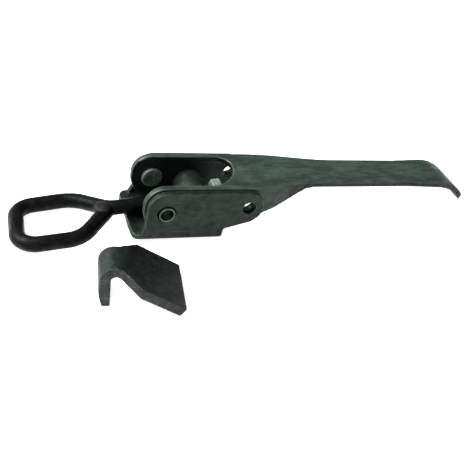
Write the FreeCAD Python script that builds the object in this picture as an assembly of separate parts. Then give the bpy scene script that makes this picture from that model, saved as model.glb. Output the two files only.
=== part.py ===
import FreeCAD, Part
import math
import os

# Over-centre lever latch, weld-on type, with its separate keeper hook.
# Frame: origin on the underside of the base, below the lever pivot, at mid width.
# +X runs along the handle to its tip, +Y to the rear wall, +Z up off the weld face. Millimetres.

V = FreeCAD.Vector
Y_AXIS = V(0, 1, 0)
Z_AXIS = V(0, 0, 1)

# Sheet metal
sheet = 4.0             # thickness of the base and the lever
wall_gap = 0.5          # side play between the lever and the base walls

# Base channel
base_width = 50.0
front_wall_top = 36.5
rear_wall_drop = 1.7     # the rear wall is pressed a little lower and shorter than the front one
rear_wall_set_back = 2.6
floor_left = -19.0
floor_right = 41.0
wall_left_foot = -15.2
wall_left = -12.7
wall_corner_r = 12.0
lobe_x = 53.8           # centre of the rounded right-hand end of a wall
lobe_r = 12.1
foot_lip_z = 8.6        # height of the wall's lower edge beside the floor
base_bend_r = 3.0
floor_corner_r = 6.0

# Lever pivot and its two hollow rivets
pivot_z = 21.2
rivet_r = 5.0
rivet_clearance = 0.06
rivet_head_r = 7.0
rivet_head_thick = 2.5
rivet_head_gap = 0.3
rivet_rim_r = 5.2
rivet_seat_r = 6.1       # shallow step in the wall around the rivet
rivet_seat_depth = 2.0
rivet_rim_proud = 1.0
rivet_recess_r = 4.3
rivet_recess_depth = 6.5
rivet_recess_drill = 2.2   # extra depth of the drill point

# Padlock hole through all four walls
lock_x = 55.6
lock_z = 24.8
lock_r = 4.5

# Lever
lever_top = 37.3
lever_bottom = 4.6
lever_nose = -14.0      # left end of the flanges
nose_top_r = 13.0
nose_low_r = 17.2
lever_half = base_width / 2 - sheet - wall_gap
handle_half = 14.2
flare_half = 15.6
front_taper = (55.0, 108.0)   # where a long edge narrows from the flanges to the handle
rear_taper = (64.0, 132.0)
notch_half = 16.1
notch_near = 33.0       # the notch's rounded end, fuller on its rear side
notch_end = V(50.6, 5.0, 0)
notch_rear = 41.0
tip_bend_x = 207.0
tip_bend_r = 38.0       # outside radius of the curled tip
tip_bend_deg = 50.0
tip_corner_r = 5.0
belly_end = 34.0        # where a flange's lower edge starts to rise
heel_left = 50.0
heel_right = 61.0
heel_z = 13.8
knee_x = 80.0
knee_z = 20.6
shoulder_x = 99.0       # where the lower edge meets the handle's underside

# Barrel nut and eye bolt
barrel_x = 26.0
barrel_z = 16.4
barrel_r = 11.2
barrel_half = 16.1
spigot_r = 6.0
spigot_half = 20.3
rod_r = 5.0
rod_clearance = 0.05
droop_deg = 9.0         # how far the eye bolt hangs below level
eye_roll_deg = 3.0      # how far the eye is screwed round from level, rear bar down
bolt_end = 20.0         # length of thread beyond the barrel's centre
nut_start = 12.7        # thin lock nut on the end of the thread
nut_height = 6.0
nut_across = 17.0
eye_half = 21.5
eye_dip_near = 4.0      # the eye is set a little below the line of the bolt
eye_rear_corner = V(-115.0, 19.4, -3.0)    # and its end bar is a little askew
eye_front_corner = V(-117.0, -21.6, -3.0)
eye_corner_r = 12.0
neck_start = 57.0
neck_end = 78.0
neck_bend_r = 12.0
shoulder_bend_r = 20.0
return_gap = 1.0        # how far short of the neck's corner the rod's welded end stops
weld_size = (5.6, 6.2, 2.8)
weld_place = V(-61.6, -1.6, 2.6)

# Keeper hook, lying on the same table as the latch
table_tilt_deg = 4.7    # the latch leans on its eye, so its base is tilted to the table
hook_foot = V(-44.4, -63.5, -7.0)
hook_turn_deg = -8.5
hook_sheet = 6.8
hook_leg = 19.6
hook_bend_r = 6.3       # middle of the sheet
hook_slope_deg = 31.6
hook_tongue = 20.0
hook_plate = 38.5
hook_shoulder = (-1.0, 12.0)
hook_tip_chamfer = (1.8, 8.0)

nodes = {}


def line(a, b):
    return Part.LineSegment(a, b).toShape()


def arc(a, mid, b):
    return Part.Arc(a, mid, b).toShape()


def polar(centre, radius, degrees):
    """A point in the XZ plane, measured from +X towards +Z."""
    a = math.radians(degrees)
    return V(centre.x + radius * math.cos(a), 0, centre.z + radius * math.sin(a))


def arc_xz(centre, radius, start, end):
    middle = polar(centre, radius, (start + end) / 2)
    return arc(polar(centre, radius, start), middle, polar(centre, radius, end))


def outline(edges):
    """A closed wire from edges in order, with straight lines across any gap between them."""
    joined = []
    for i, edge in enumerate(edges):
        following = edges[(i + 1) % len(edges)]
        joined.append(edge)
        end = edge.valueAt(edge.LastParameter)
        start = following.valueAt(following.FirstParameter)
        if end.distanceToPoint(start) > 1e-6:
            joined.append(line(end, start))
    return Part.Face(Part.Wire(joined))


def through_y(face, y0, y1):
    moved = face.translated(V(0, y0, 0))
    return moved.extrude(V(0, y1 - y0, 0))


def peg(radius, x, z, y0, y1):
    return Part.makeCylinder(radius, y1 - y0, V(x, y0, z), Y_AXIS)


def both_sides(shape):
    return [shape, shape.mirror(V(0, 0, 0), Y_AXIS)]


def fillet_where(solid, radius, wanted):
    edges = [e for e in solid.Edges if wanted(e)]
    return solid.makeFillet(radius, edges)


def save(name, shape):
    nodes[name] = shape
    shape.exportStep("parts/" + name + ".step")


def wall_face(top, set_back):
    """Side view of a base wall with its slice of the floor."""
    left = wall_left + set_back
    corner = V(left + wall_corner_r, 0, top - wall_corner_r)
    lobe = V(lobe_x, 0, top - lobe_r)
    foot = [
        V(floor_left, 0, sheet),
        V(floor_left, 0, 0),
        V(floor_right, 0, 0),
        V(floor_right, 0, foot_lip_z - 2),
    ]
    lip = arc(foot[3], V(floor_right + 0.6, 0, foot_lip_z - 0.6), V(floor_right + 2, 0, foot_lip_z))
    return outline([
        line(V(wall_left_foot + set_back, 0, sheet), foot[0]),
        line(foot[0], foot[1]),
        line(foot[1], foot[2]),
        line(foot[2], foot[3]),
        lip,
        arc_xz(lobe, lobe_r, -80, 90),
        arc_xz(corner, wall_corner_r, 90, 180),
        line(V(left, 0, 2.6 * sheet), V(wall_left_foot + set_back, 0, sheet)),
    ])


def base_channel():
    half = base_width / 2
    front = through_y(wall_face(front_wall_top, 0), -half, 0)
    rear = through_y(wall_face(front_wall_top - rear_wall_drop, rear_wall_set_back), 0, half)
    block = front.fuse(rear).removeSplitter()
    bottom_edges = [e for e in block.Edges if abs(e.CenterOfMass.z) < 0.01]
    bend_edges = [e for e in bottom_edges if abs(abs(e.CenterOfMass.y) - half) < 0.01]
    block = block.makeFillet(base_bend_r, bend_edges)
    inside = Part.makeBox(base_width + 60, base_width - 2 * sheet, 60, V(floor_left - 10, sheet - half, sheet))
    inside_edges = [e for e in inside.Edges if abs(e.CenterOfMass.z - sheet) < 0.01 and e.Length > base_width]
    channel = block.cut(inside.makeFillet(1.0, inside_edges))
    for y in (-half, half - floor_corner_r):
        corner = Part.makeBox(floor_corner_r, floor_corner_r, 60, V(floor_left, y, -1))
        centre_y = -half + floor_corner_r if y < 0 else half - floor_corner_r
        post = Part.makeCylinder(floor_corner_r, 60, V(floor_left + floor_corner_r, centre_y, -1))
        channel = channel.cut(corner.cut(post))
    channel = channel.cut(peg(rivet_r, 0, pivot_z, -half - 1, half + 1))
    channel = channel.cut(peg(rivet_seat_r, 0, pivot_z, -half - 1, rivet_seat_depth - half))
    channel = channel.cut(peg(rivet_seat_r, 0, pivot_z, half - rivet_seat_depth, half + 1))
    channel = channel.cut(peg(lock_r, lock_x, lock_z, -half - 1, half + 1))
    return channel


def pivot_rivet():
    """The front rivet: dished outer end, shank through both sheets, flat head inside."""
    outer = -base_width / 2
    head_y = -lever_half + sheet + rivet_head_gap
    shank = peg(rivet_r, 0, pivot_z, outer - 0.1, head_y + 0.1)
    head = peg(rivet_head_r, 0, pivot_z, head_y, head_y + rivet_head_thick)
    head = fillet_where(head, 0.8, lambda e: e.CenterOfMass.y > head_y + rivet_head_thick - 0.1 and e.Closed)
    rim = peg(rivet_rim_r, 0, pivot_z, outer - rivet_rim_proud, outer + rivet_seat_depth)
    body = shank.fuse(head).fuse(rim).removeSplitter()
    mouth = outer - rivet_rim_proud
    recess = peg(rivet_recess_r, 0, pivot_z, mouth - 1, mouth + rivet_recess_depth)
    floor_y = mouth + rivet_recess_depth
    point = Part.makeCone(rivet_recess_r, 0, rivet_recess_drill, V(0, floor_y, pivot_z), Y_AXIS)
    return body.cut(recess.fuse(point))


def handle_tip(radius, degrees):
    """A point on the curled tip, at a distance from the centre of its bend."""
    centre = V(tip_bend_x, 0, lever_top - tip_bend_r)
    return polar(centre, radius, degrees)


def lever_side_face():
    """Side view of the whole lever, filled."""
    nose_top = V(lever_nose + nose_top_r, 0, lever_top - nose_top_r)
    nose_low = V(lever_nose + nose_low_r, 0, lever_bottom + nose_low_r)
    bend = V(tip_bend_x, 0, lever_top - tip_bend_r)
    last = 90 - tip_bend_deg
    under = lever_top - sheet
    return outline([
        arc_xz(nose_low, nose_low_r, 270, 180),
        arc_xz(nose_top, nose_top_r, 180, 90),
        arc_xz(bend, tip_bend_r, 90, last),
        arc_xz(bend, tip_bend_r - sheet, last, 90),
        line(V(shoulder_x + 6, 0, under), V(shoulder_x, 0, under - 1)),
        line(V(knee_x + 2, 0, knee_z + 1.5), V(knee_x - 3, 0, knee_z - 1.5)),
        line(V(heel_right + 3, 0, heel_z + 0.8), V(heel_right, 0, heel_z)),
        line(V(heel_left, 0, heel_z - 0.6), V(belly_end + 2, 0, lever_bottom + 1)),
    ])


def long_edge(inset, taper):
    """The front outline of the lever from above, or of the hollow when inset, from left to right."""
    wide = lever_half - inset
    slim = handle_half - inset
    flare = flare_half - inset
    start, end = taper
    tip = handle_tip(tip_bend_r, 90 - tip_bend_deg).x + 1
    tip_r = tip_corner_r
    side = Part.BSplineCurve()
    side.interpolate(Points=[V(start, -wide, 0), V((start + end) / 2, -(wide + slim) / 2, 0), V(end, -slim, 0)],
                     Tangents=[V(1, 0, 0), V(1, 0.16, 0), V(1, 0, 0)], TangentFlags=[True, True, True])
    return [
        line(V(-30, -wide, 0), V(start, -wide, 0)),
        side.toShape(),
        line(V(end, -slim, 0), V(tip_bend_x - 24, -slim, 0)),
        line(V(tip_bend_x - 24, -slim, 0), V(tip_bend_x, -flare, 0)),
        line(V(tip_bend_x, -flare, 0), V(tip_bend_x + 10, -flare, 0)),
        arc(V(tip - tip_r, -slim, 0), V(tip - 0.3 * tip_r, 0.3 * tip_r - slim, 0), V(tip, tip_r - slim, 0)),
    ]


def turned_back(edge):
    """The same edge mirrored to the rear and running the other way."""
    mirrored = edge.mirror(V(0, 0, 0), Y_AXIS)
    forward = mirrored.Curve.copy().toShape(mirrored.FirstParameter, mirrored.LastParameter)
    flipped = forward.Curve.copy()
    flipped.reverse()
    first = flipped.parameter(forward.valueAt(forward.LastParameter))
    last = flipped.parameter(forward.valueAt(forward.FirstParameter))
    return flipped.toShape(first, last)


def lever_plan_face(inset):
    """Top view of the lever, or with an inset, of the hollow between its flanges."""
    front = long_edge(inset, front_taper)
    rear = [turned_back(edge) for edge in reversed(long_edge(inset, rear_taper))]
    return outline(front + rear)


def notch_face():
    """The slot in the web that the barrel and the eye bolt swing through, from above."""
    near = V(notch_near, -notch_half, 0)
    rear = V(notch_rear, notch_half, 0)
    left = [V(-30, notch_half, 0), V(-30, -notch_half, 0)]
    near_arc = arc(near, V(44.4, -8.6, 0), notch_end)
    rear_arc = arc(notch_end, V(48.6, 13.0, 0), rear)
    return outline([line(left[0], left[1]), line(left[1], near), near_arc, rear_arc])


def lever():
    tall = 80.0
    body = through_y(lever_side_face(), -lever_half - 5, lever_half + 5)
    plan = lever_plan_face(0).translated(V(0, 0, -20)).extrude(V(0, 0, tall))
    body = body.common(plan)
    under = lever_top - sheet
    hollow = lever_plan_face(sheet).translated(V(0, 0, -20)).extrude(V(0, 0, under + 20))
    under_handle = Part.makeBox(200, 60, tall, V(shoulder_x + 30, -30, -20))
    body = body.cut(hollow.cut(under_handle))
    body = body.cut(notch_face().translated(V(0, 0, -20)).extrude(V(0, 0, tall)))
    body = body.cut(peg(rivet_r + rivet_clearance, 0, pivot_z, -30, 30))
    body = body.cut(peg(spigot_r + rivet_clearance, barrel_x, barrel_z, -30, 30))
    body = body.cut(peg(lock_r, lock_x, lock_z, -30, 30))
    return body


def drooped(shape):
    """From the eye bolt's own frame, with +X along its thread, to its place at the barrel."""
    turned = shape.rotated(V(0, 0, 0), Y_AXIS, -droop_deg)
    return turned.translated(V(barrel_x, 0, barrel_z))


def screwed(shape):
    """A piece of the eye, turned round its thread and put in place."""
    return drooped(shape.rotated(V(0, 0, 0), V(1, 0, 0), -eye_roll_deg))


def barrel_nut():
    barrel = peg(barrel_r, 0, 0, -barrel_half, barrel_half)
    barrel = fillet_where(barrel, 0.8, lambda e: e.Closed)
    barrel = barrel.fuse(peg(spigot_r, 0, 0, -spigot_half, spigot_half)).removeSplitter()
    bore = Part.makeCylinder(rod_r + rod_clearance, 4 * barrel_r, V(-2 * barrel_r, 0, 0), V(1, 0, 0))
    return drooped(barrel.cut(bore))


def rounded_path(points, radii):
    """Straight runs joined by tangent arcs, one radius for each inner point."""
    edges = []
    last = points[0]
    for i, radius in enumerate(radii):
        corner = points[i + 1]
        before = (points[i] - corner).normalize()
        after = (points[i + 2] - corner).normalize()
        turn = math.pi - before.getAngle(after)
        cut = radius * math.tan(turn / 2)
        a = corner + before * cut
        b = corner + after * cut
        middle = (before + after).normalize()
        mid = corner + middle * (radius / math.cos(turn / 2) - radius)
        edges.append(line(last, a))
        edges.append(arc(a, mid, b))
        last = b
    edges.append(line(last, points[-1]))
    return Part.Wire(edges)


def rod_along(path, start, direction):
    section = Part.Wire(Part.makeCircle(rod_r, start, direction))
    return path.makePipeShell([section], True, False)


def eye_rod():
    """The threaded shank and its bent eye, one rod whose end is welded back to the shank."""
    points = [
        V(bolt_end, 0, 0),
        V(-neck_start, 0, 0),
        V(-neck_end, eye_half, -eye_dip_near),
        eye_rear_corner,
        eye_front_corner,
        V(-neck_end, -eye_half, -eye_dip_near),
    ]
    shoulder = points[-1] - points[1]
    points.append(points[1] + shoulder * (return_gap / (neck_end - neck_start)))
    radii = [neck_bend_r, shoulder_bend_r, eye_corner_r, eye_corner_r, shoulder_bend_r]
    path = rounded_path(points, radii)
    returning = path.Edges[-1]
    rod = rod_along(Part.Wire(path.Edges[:-1]), points[0], V(1, 0, 0))
    start = returning.valueAt(returning.FirstParameter)
    heading = points[-1] - start
    end_bar = Part.makeCylinder(rod_r, heading.Length, start, heading)
    return screwed(rod.fuse(end_bar).removeSplitter())


def eye_weld():
    ball = Part.makeSphere(1.0)
    stretch = FreeCAD.Matrix()
    stretch.scale(V(*weld_size))
    bead = ball.transformGeometry(stretch)
    return screwed(bead.translated(weld_place))


def lock_nut():
    radius = nut_across / math.sqrt(3)
    corners = [V(nut_start, radius * math.cos(math.radians(a)), radius * math.sin(math.radians(a)))
               for a in range(0, 361, 60)]
    prism = Part.Face(Part.makePolygon(corners)).extrude(V(nut_height, 0, 0))
    inner_r = nut_across / 2 + 0.3
    cone_length = 8.0
    outward = Part.makeCone(inner_r, inner_r + 2 * cone_length, cone_length, V(nut_start, 0, 0), V(1, 0, 0))
    inward_start = V(nut_start + nut_height - cone_length, 0, 0)
    inward = Part.makeCone(inner_r + 2 * cone_length, inner_r, cone_length, inward_start, V(1, 0, 0))
    prism = prism.common(outward).common(inward)
    return drooped(prism.cut(Part.makeCylinder(rod_r, 40, V(0, 0, 0), V(1, 0, 0))))


def hook_side_face():
    """Side view of the hook: leg at the left, over the bend, down the sloping plate."""
    half = hook_sheet / 2
    slope = math.radians(hook_slope_deg)
    centre = V(hook_bend_r, 0, hook_leg)
    crest_end = 90 - hook_slope_deg
    down = V(math.cos(slope), 0, -math.sin(slope))
    normal = V(math.sin(slope), 0, math.cos(slope))
    bend_exit = polar(centre, hook_bend_r, crest_end)
    run = (bend_exit.z - half * normal.z) / math.sin(slope)
    end = bend_exit + down * run
    tip_in, tip_up = hook_tip_chamfer
    return outline([
        line(V(half, 0, 0), V(tip_in - half, 0, 0)),
        line(V(-half, 0, tip_up), V(-half, 0, hook_leg)),
        arc_xz(centre, hook_bend_r + half, 180, crest_end),
        line(end + normal * half, end - normal * half),
        arc_xz(centre, hook_bend_r - half, crest_end, 180),
    ]), bend_exit, down, run


def keeper_hook():
    face, bend_exit, down, run = hook_side_face()
    body = through_y(face, -hook_plate / 2, hook_plate / 2)
    first, last = hook_shoulder
    x_first = (bend_exit + down * first).x
    x_last = (bend_exit + down * last).x
    for side in (-1, 1):
        inner = side * hook_tongue / 2
        outer = side * (hook_plate / 2 + 1)
        edge_y = side * hook_plate / 2
        corner = [
            V(-20, inner, -5),
            V(x_first, inner, -5),
            V(x_last, edge_y, -5),
            V(x_last, outer, -5),
            V(-20, outer, -5),
        ]
        cutter = Part.Face(Part.makePolygon(corner + corner[:1])).extrude(V(0, 0, 60))
        body = body.cut(cutter)
    body = body.rotated(V(0, 0, 0), Z_AXIS, hook_turn_deg)
    body = body.rotated(V(0, 0, 0), Y_AXIS, -table_tilt_deg)
    return body.translated(hook_foot)


os.makedirs("parts", exist_ok=True)
front_rivet = pivot_rivet()
save("base_channel", base_channel())
save("front_pivot_rivet", front_rivet)
save("rear_pivot_rivet", both_sides(front_rivet)[1])
save("lever", lever())
save("barrel_nut", barrel_nut())
save("eye_rod", eye_rod())
save("eye_weld", eye_weld())
save("lock_nut", lock_nut())
save("keeper_hook", keeper_hook())

for name, shape in nodes.items():
    box = shape.BoundBox
    print("%-18s valid %s solids %d volume %8.0f  x %.1f..%.1f y %.1f..%.1f z %.1f..%.1f" % (
        name, shape.isValid(), len(shape.Solids), shape.Volume,
        box.XMin, box.XMax, box.YMin, box.YMax, box.ZMin, box.ZMax))
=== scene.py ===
import bpy
import math
from mathutils import Matrix, Vector


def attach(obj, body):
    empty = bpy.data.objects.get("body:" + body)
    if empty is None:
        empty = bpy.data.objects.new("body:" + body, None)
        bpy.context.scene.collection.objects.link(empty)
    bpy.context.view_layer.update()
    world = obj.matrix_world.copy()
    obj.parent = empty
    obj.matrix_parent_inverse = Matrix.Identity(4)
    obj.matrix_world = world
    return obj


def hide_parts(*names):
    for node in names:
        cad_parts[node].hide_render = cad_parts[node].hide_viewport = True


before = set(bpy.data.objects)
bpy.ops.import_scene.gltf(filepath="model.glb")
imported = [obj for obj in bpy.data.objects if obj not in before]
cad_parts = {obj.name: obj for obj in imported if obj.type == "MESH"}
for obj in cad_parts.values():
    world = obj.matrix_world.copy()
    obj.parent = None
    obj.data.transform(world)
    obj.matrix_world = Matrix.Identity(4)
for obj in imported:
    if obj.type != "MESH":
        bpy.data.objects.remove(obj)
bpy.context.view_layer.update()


# ---------------------------------------------------------------- camera, floor and light

TABLE_TILT = math.radians(4.7)       # the latch leans back towards its eye
TABLE_GAP = 0.0001                   # kept between the table and the pieces that stand on it
FOOT_RIGHT_X = 0.041                 # the corner of the base floor that the latch leans on
FLOOR_HALF = 6.0
WHITE = (1, 1, 1, 1)

CAMERA_PLACE = (-0.1335, -0.3554, 0.2852)
CAMERA_YAW = math.radians(26.86)
CAMERA_PITCH = math.radians(36.83)
CAMERA_ROLL = math.radians(15.12)
CAMERA_LENS = 54.17
CAMERA_SHIFT = (0.047, -0.0116)

WORLD_STRENGTH = 0.35
LIT_POINT = (0.05, 0, 0.02)
LAMP_SIZE = 0.5
LAMPS = [
    ("key", (-0.75, 0.25, 0.75), 30),
    ("fill", (-0.35, -0.75, 0.55), 3),
]


def table_matrix():
    """The table's plane: it passes under the base's right-hand corner and the keeper's foot."""
    return Matrix.Translation((FOOT_RIGHT_X, 0, -TABLE_GAP)) @ Matrix.Rotation(-TABLE_TILT, 4, "Y")


def make_camera():
    level = Vector((math.cos(CAMERA_YAW), -math.sin(CAMERA_YAW), 0))
    ahead = math.cos(CAMERA_PITCH)
    look = Vector((math.sin(CAMERA_YAW) * ahead, math.cos(CAMERA_YAW) * ahead, -math.sin(CAMERA_PITCH)))
    above = level.cross(look)
    right = math.cos(CAMERA_ROLL) * level + math.sin(CAMERA_ROLL) * above
    up = -math.sin(CAMERA_ROLL) * level + math.cos(CAMERA_ROLL) * above
    data = bpy.data.cameras.new("camera")
    data.sensor_width = 36
    data.lens = CAMERA_LENS
    data.shift_x, data.shift_y = CAMERA_SHIFT
    data.clip_start = 0.01
    data.clip_end = 20
    camera = bpy.data.objects.new("camera", data)
    bpy.context.scene.collection.objects.link(camera)
    turn = Matrix((right, up, -look)).transposed().to_4x4()
    camera.matrix_world = Matrix.Translation(CAMERA_PLACE) @ turn
    bpy.context.scene.camera = camera


def make_floor():
    mesh = bpy.data.meshes.new("floor")
    far = FLOOR_HALF
    mesh.from_pydata([(-far, -far, 0), (far, -far, 0), (far, far, 0), (-far, far, 0)], [], [(0, 1, 2, 3)])
    floor = bpy.data.objects.new("floor", mesh)
    bpy.context.scene.collection.objects.link(floor)
    floor.matrix_world = table_matrix()
    material = bpy.data.materials.new("floor")
    material.use_nodes = True
    shader = material.node_tree.nodes["Principled BSDF"]
    shader.inputs["Base Color"].default_value = (0.8, 0.8, 0.8, 1)
    shader.inputs["Roughness"].default_value = 0.9
    shader.inputs["Emission Color"].default_value = WHITE
    shader.inputs["Emission Strength"].default_value = 0.8
    mesh.materials.append(material)


def area_light(name, place, power):
    data = bpy.data.lights.new(name, "AREA")
    data.shape = "RECTANGLE"
    data.size = LAMP_SIZE
    data.size_y = LAMP_SIZE
    data.energy = power
    light = bpy.data.objects.new(name, data)
    light.location = place
    light.rotation_mode = "QUATERNION"
    light.rotation_quaternion = (Vector(LIT_POINT) - Vector(place)).to_track_quat("-Z", "Y")
    bpy.context.scene.collection.objects.link(light)


def make_light():
    world = bpy.data.worlds.new("studio")
    world.use_nodes = True
    background = world.node_tree.nodes["Background"]
    background.inputs["Color"].default_value = WHITE
    background.inputs["Strength"].default_value = WORLD_STRENGTH
    bpy.context.scene.world = world
    for name, place, power in LAMPS:
        area_light(name, place, power)
    bpy.context.scene.view_settings.view_transform = "Standard"
    bpy.context.scene.view_settings.look = "None"


# ---------------------------------------------------------------- materials

CLOUD_SCALE, BLOTCH_SCALE, SPECK_SCALE = 55, 210, 1500   # mill scale, from broad patches to pits
SCRATCH_SCALE = 420
SCRATCH_STRETCH = (0.12, 3.0, 3.0)                       # scratches run along the handle
SCRATCH_AMOUNT = 0.35
WET_SCALE = 90                                           # patches of oil
PIT_ROUGHNESS = 0.08
BUMP_DEPTH = 0.0002
# Painted shade: sides inside the given half width are darkened towards this near-black colour.
PAINTED_SHADE_COLOUR = (0.001, 0.002, 0.0015, 1)
PAINTED_SHADE_AMOUNT = 0.75
PAINTED_SHADE_BLEND = 0.0004


class Nodes:
    """A short way to write a material's node tree."""

    def __init__(self, name):
        self.material = bpy.data.materials.new(name)
        self.material.use_nodes = True
        self.tree = self.material.node_tree
        self.shader = self.tree.nodes["Principled BSDF"]
        self.place = self.tree.nodes.new("ShaderNodeTexCoord").outputs["Object"]

    def link(self, value, socket):
        if isinstance(value, bpy.types.NodeSocket):
            self.tree.links.new(value, socket)
        else:
            socket.default_value = value

    def noise(self, scale, detail, rough, warp=0.0, stretch=(1, 1, 1)):
        node = self.tree.nodes.new("ShaderNodeTexNoise")
        moved = self.tree.nodes.new("ShaderNodeMapping")
        moved.inputs["Scale"].default_value = stretch
        self.link(self.place, moved.inputs["Vector"])
        self.link(moved.outputs["Vector"], node.inputs["Vector"])
        node.inputs["Scale"].default_value = scale
        node.inputs["Detail"].default_value = detail
        node.inputs["Roughness"].default_value = rough
        node.inputs["Distortion"].default_value = warp
        return node.outputs["Fac"]

    def spread(self, value, low, high, to_low=0.0, to_high=1.0):
        node = self.tree.nodes.new("ShaderNodeMapRange")
        node.interpolation_type = "SMOOTHSTEP"
        self.link(value, node.inputs["Value"])
        settings = {"From Min": low, "From Max": high, "To Min": to_low, "To Max": to_high}
        for name, number in settings.items():
            node.inputs[name].default_value = number
        return node.outputs["Result"]

    def mix(self, factor, a, b):
        node = self.tree.nodes.new("ShaderNodeMix")
        node.data_type = "RGBA"
        self.link(factor, node.inputs[0])
        first, second = [socket for socket in node.inputs if socket.type == "RGBA"]
        self.link(a, first)
        self.link(b, second)
        return [socket for socket in node.outputs if socket.type == "RGBA"][0]

    def combine(self, operation, a, b=0.0):
        node = self.tree.nodes.new("ShaderNodeMath")
        node.operation = operation
        self.link(a, node.inputs[0])
        self.link(b, node.inputs[1])
        return node.outputs[0]

    def edges(self, low, high):
        """1 on convex edges, for rubbed wear and painted edge highlight, 0 on flats and in corners."""
        geometry = self.tree.nodes.new("ShaderNodeNewGeometry")
        return self.spread(geometry.outputs["Pointiness"], low, high)

    def along(self, axis):
        """The place on the piece along one axis, in metres."""
        split = self.tree.nodes.new("ShaderNodeSeparateXYZ")
        self.link(self.place, split.inputs["Vector"])
        return split.outputs[axis]

    def upward(self, low, high):
        """1 on surfaces of the piece that look up, 0 on its sides."""
        place = self.tree.nodes.new("ShaderNodeTexCoord")
        split = self.tree.nodes.new("ShaderNodeSeparateXYZ")
        self.link(place.outputs["Normal"], split.inputs["Vector"])
        return self.spread(split.outputs["Z"], low, high)

    def bump(self, layers):
        """Layers of (height, strength), the coarsest first."""
        normal = None
        for height, strength in layers:
            node = self.tree.nodes.new("ShaderNodeBump")
            node.inputs["Strength"].default_value = strength
            node.inputs["Distance"].default_value = BUMP_DEPTH
            self.link(height, node.inputs["Height"])
            if normal:
                self.link(normal, node.inputs["Normal"])
            normal = node.outputs["Normal"]
        self.link(normal, self.shader.inputs["Normal"])


def lighter(colour, factor):
    return tuple(factor * part for part in colour) + (1,)


def oiled_steel(name, dark, light, worn_and_highlight, rough=(0.36, 0.6), edge=(0.505, 0.56), grain=(1, 1, 1),
                metallic=0.7, painted_top_light=1.0, inside=None):
    """Raw rolled steel under oil: cloudy mill scale, fine pits, brighter convex edges (rubbed wear and
    painted edge highlight).

    Faces that look up are made lighter by the top factor: painted light falling from above. "inside" is a
    half width within which the sides are darkened: painted shade between flanges and inside recesses.
    """
    n = Nodes(name)
    clouds = n.noise(CLOUD_SCALE, 5, 0.6, 0.6, grain)
    blotch = n.noise(BLOTCH_SCALE, 6, 0.65, 0.3, grain)
    speck = n.noise(SPECK_SCALE, 3, 0.6)
    scratch = n.noise(SCRATCH_SCALE, 2, 0.5, 0.0, SCRATCH_STRETCH)
    tone = n.combine("ADD", n.combine("MULTIPLY", clouds, 0.5), n.combine("MULTIPLY", blotch, 0.5))
    scale = n.spread(tone, 0.40, 0.60)
    sides = n.mix(scale, (*dark, 1), (*light, 1))
    # Painted shade on the sides that lie between the flanges or deep in a recess.
    if inside:
        from_middle = n.combine("ABSOLUTE", n.along("Y"))
        painted_shade_mask = n.spread(from_middle, inside - PAINTED_SHADE_BLEND, inside + PAINTED_SHADE_BLEND, PAINTED_SHADE_AMOUNT, 0.0)
        sides = n.mix(painted_shade_mask, sides, PAINTED_SHADE_COLOUR)
    # Painted light: up-facing faces take a lighter copy of the colours, standing in for light from above.
    painted_top_colour = n.mix(scale, lighter(dark, painted_top_light), lighter(light, painted_top_light))
    base = n.mix(n.upward(0.35, 0.95), sides, painted_top_colour)
    rubbed = n.combine("MULTIPLY", n.spread(scratch, 0.60, 0.78), SCRATCH_AMOUNT)
    base = n.mix(rubbed, base, (*worn_and_highlight, 1))
    # Convex edges: rubbed wear and painted edge highlight together.
    edge_wear_and_highlight = n.combine("MULTIPLY", n.edges(*edge), n.spread(blotch, 0.32, 0.6, 0.35, 1.0))
    base = n.mix(edge_wear_and_highlight, base, (*worn_and_highlight, 1))
    n.link(base, n.shader.inputs["Base Color"])
    n.shader.inputs["Metallic"].default_value = metallic
    wet = n.spread(n.noise(WET_SCALE, 4, 0.6, 1.2), 0.35, 0.65, rough[0], rough[1])
    pits = n.combine("MULTIPLY", speck, PIT_ROUGHNESS)
    n.link(n.combine("ADD", wet, pits), n.shader.inputs["Roughness"])
    n.bump([(clouds, 0.35), (blotch, 0.4), (speck, 0.25)])
    return n.material


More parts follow.
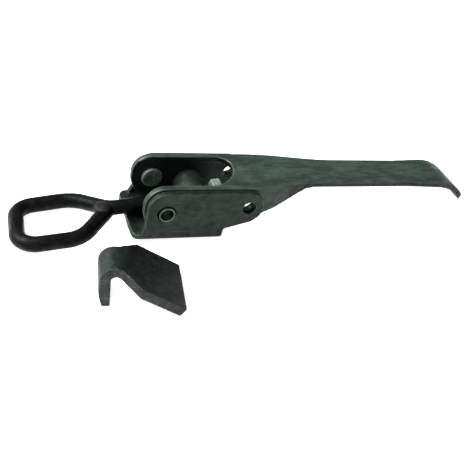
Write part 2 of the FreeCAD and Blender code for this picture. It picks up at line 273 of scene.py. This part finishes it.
def make_materials():
    """The finishes, each with its darkest, lightest and rubbed colour; the rubbed colour also paints edge
    highlights.
    """
    return {
        # top= sets the painted light on up-facing faces; inside= sets the painted shade on the inner sides.
        "base": oiled_steel("base_black_steel", (0.0022, 0.0060, 0.0036), (0.0095, 0.0165, 0.0118),
                            (0.055, 0.078, 0.062), painted_top_light=1.8),
        # The lever's inside= paints shade on the inner sides between its flanges.
        "lever": oiled_steel("lever_black_steel", (0.009, 0.017, 0.012), (0.023, 0.036, 0.027),
                             (0.090, 0.115, 0.098), grain=(0.45, 1.4, 1.4), painted_top_light=2.9, inside=0.0167),
        "rod": oiled_steel("rod_fire_scale", (0.0010, 0.0016, 0.0015), (0.0045, 0.0065, 0.0058),
                           (0.022, 0.030, 0.026), rough=(0.34, 0.6), metallic=0.9),
        # The front rivet's inside= paints shade deep in its recess.
        "front_rivet": oiled_steel("front_rivet_steel", (0.030, 0.044, 0.034), (0.080, 0.105, 0.085),
                                   (0.15, 0.19, 0.155), inside=0.0254),
        # The rear rivet is lighter than the front rivet: painted light on its head, lit between the
        # flanges.
        "rear_rivet": oiled_steel("rear_rivet_lit_steel", (0.060, 0.085, 0.065), (0.16, 0.20, 0.165),
                                  (0.24, 0.29, 0.25)),
        "barrel": oiled_steel("barrel_steel", (0.010, 0.016, 0.012), (0.028, 0.038, 0.031),
                              (0.06, 0.08, 0.065)),
        "weld": oiled_steel("weld_steel", (0.003, 0.0045, 0.0037), (0.011, 0.015, 0.0125),
                            (0.035, 0.046, 0.039), rough=(0.55, 0.8)),
        "nut": oiled_steel("nut_plated_steel", (0.11, 0.165, 0.13), (0.20, 0.275, 0.23), (0.30, 0.38, 0.33),
                           metallic=0.4),
        "hook": oiled_steel("hook_black_steel", (0.0045, 0.0075, 0.0065), (0.017, 0.024, 0.021),
                            (0.10, 0.12, 0.11), edge=(0.515, 0.57)),
    }


# ---------------------------------------------------------------- pieces

# CAD node, body, material slot, finish, mesh grid in metres, rounds of smoothing
PIECES = [
    ("base_channel", "base", "base_steel", "base", 0.00050, 3),
    ("lever", "lever", "lever_steel", "lever", 0.00055, 3),
    ("front_pivot_rivet", "base", "rivet_steel", "front_rivet", 0.00022, 3),
    ("rear_pivot_rivet", "base", "rivet_steel", "rear_rivet", 0.00022, 3),
    ("barrel_nut", "barrel", "rivet_steel", "barrel", 0.00045, 3),
    ("eye_rod", "eye", "rod_steel", "rod", 0.00050, 3),
    ("eye_weld", "eye", "weld_steel", "weld", 0.00040, 3),
    ("lock_nut", "eye", "nut_steel", "nut", 0.00030, 1),
    ("keeper_hook", "base", "hook_steel", "hook", 0.00045, 9),
]


def apply_modifiers(piece):
    graph = bpy.context.evaluated_depsgraph_get()
    mesh = bpy.data.meshes.new_from_object(piece.evaluated_get(graph))
    piece.modifiers.clear()
    old = piece.data
    piece.data = mesh
    bpy.data.meshes.remove(old)


def dense_copy(node, name, voxel, smooth):
    """A fine even mesh of a CAD node, with its sheared edges softened."""
    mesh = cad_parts[node].data.copy()
    mesh.materials.clear()
    piece = bpy.data.objects.new(name, mesh)
    bpy.context.scene.collection.objects.link(piece)
    remesh = piece.modifiers.new("remesh", "REMESH")
    remesh.mode = "VOXEL"
    remesh.voxel_size = voxel
    remesh.use_smooth_shade = True
    soften = piece.modifiers.new("soften", "SMOOTH")
    soften.factor = 0.5
    soften.iterations = smooth
    apply_modifiers(piece)
    return piece


def finish_piece(piece, node, body, material):
    piece.data.materials.clear()
    piece.data.materials.append(material)
    for face in piece.data.polygons:
        face.use_smooth = True
    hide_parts(node)
    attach(piece, body)


def main():
    make_camera()
    make_floor()
    make_light()
    looks = make_materials()
    for node, body, slot, look, voxel, smooth in PIECES:
        piece = dense_copy(node, node + "_body", voxel, smooth)
        finish_piece(piece, node, body, looks[look])


main()
